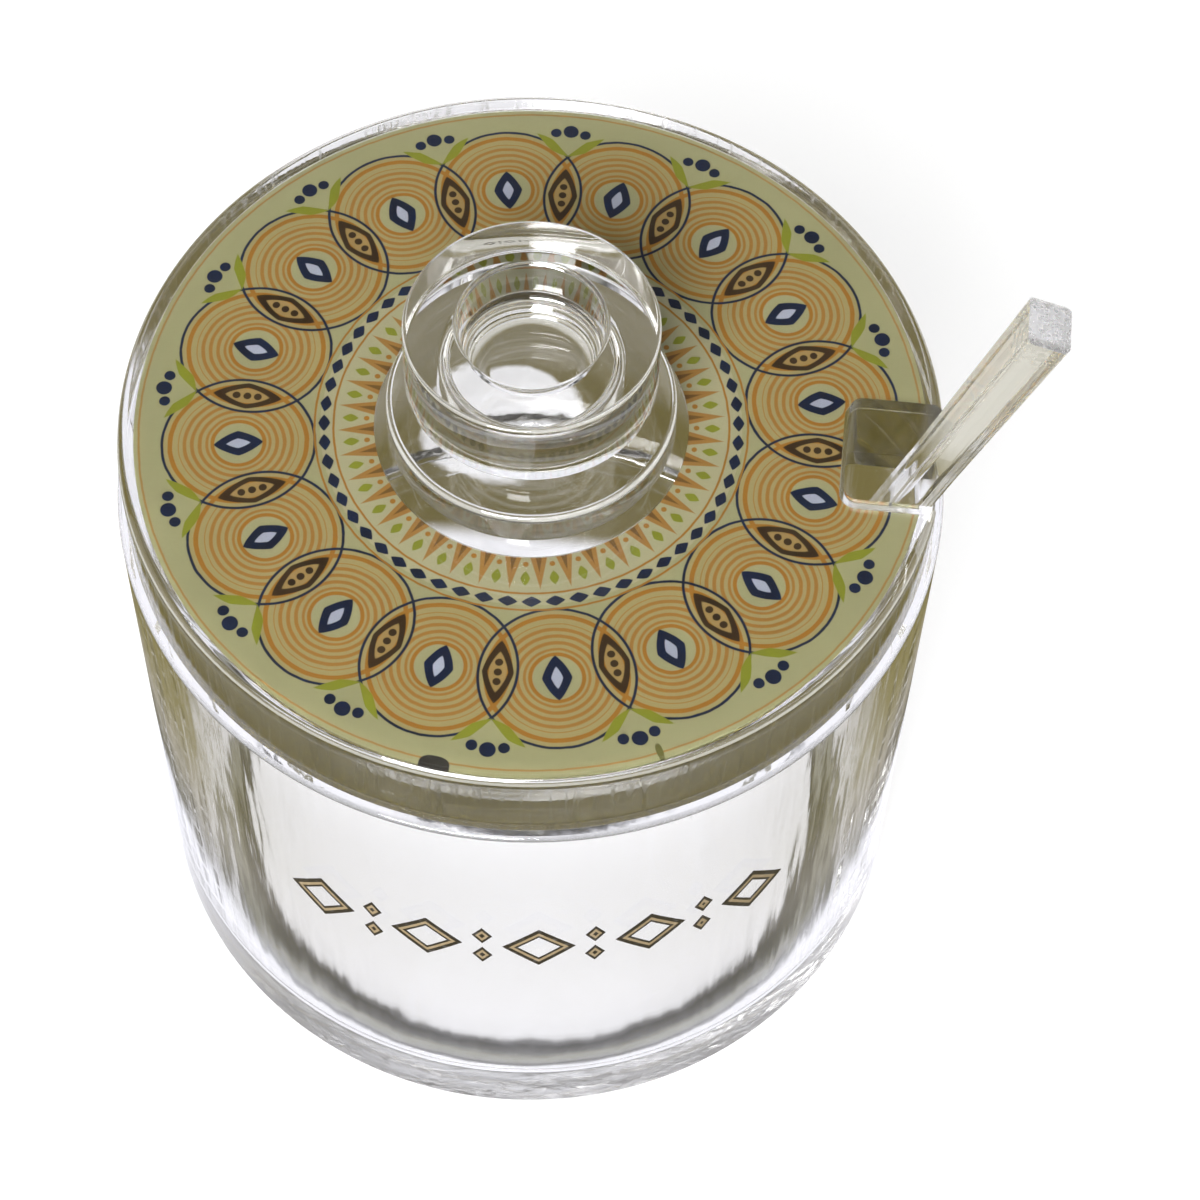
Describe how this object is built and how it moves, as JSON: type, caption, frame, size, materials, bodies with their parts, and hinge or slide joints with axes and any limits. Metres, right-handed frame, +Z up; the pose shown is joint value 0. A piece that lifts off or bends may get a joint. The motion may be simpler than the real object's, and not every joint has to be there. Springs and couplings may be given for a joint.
{
  "type": "honey dish with lid and spoon",
  "caption": "Clear round acrylic honey jar with a thick flat lid that holds a printed ornamental film, a turned knob, and a spoon leaning out through a notch in the lid.",
  "frame": {"origin": "centre of the jar's underside", "axes": "+Z up, the front with its ornament faces -Y, and the lid's notch and the spoon point to +X"},
  "size_m": [0.0989, 0.09, 0.1079],
  "materials": {
    "clear_jar": "polished clear acrylic with fine drawn ripples",
    "clear_lid": "polished clear acrylic",
    "printed_film": "printed film, sage green ground with ochre, navy and brown ornament",
    "clear_knob": "turned and polished clear acrylic",
    "clear_spoon": "moulded clear acrylic"
  },
  "bodies": {
    "jar": {"jar_wall": "clear_jar", "jar_base": "clear_jar"},
    "lid": {"lid_plug": "clear_lid", "lid_body": "clear_lid", "lid_print": "printed_film", "lid_top_sheet": "clear_lid", "knob": "clear_knob"},
    "spoon": {"spoon": "clear_spoon"}
  },
  "joints": [
    {"name": "lid_lift", "type": "slide", "parent": "jar", "child": "lid", "axis": [0, 0, 1], "range_m": [0, 0.06]},
    {"name": "spoon_lift", "type": "slide", "parent": "jar", "child": "spoon", "axis": [0.3189, 0.0182, 0.9476], "range_m": [0, 0.038]}
  ]
}
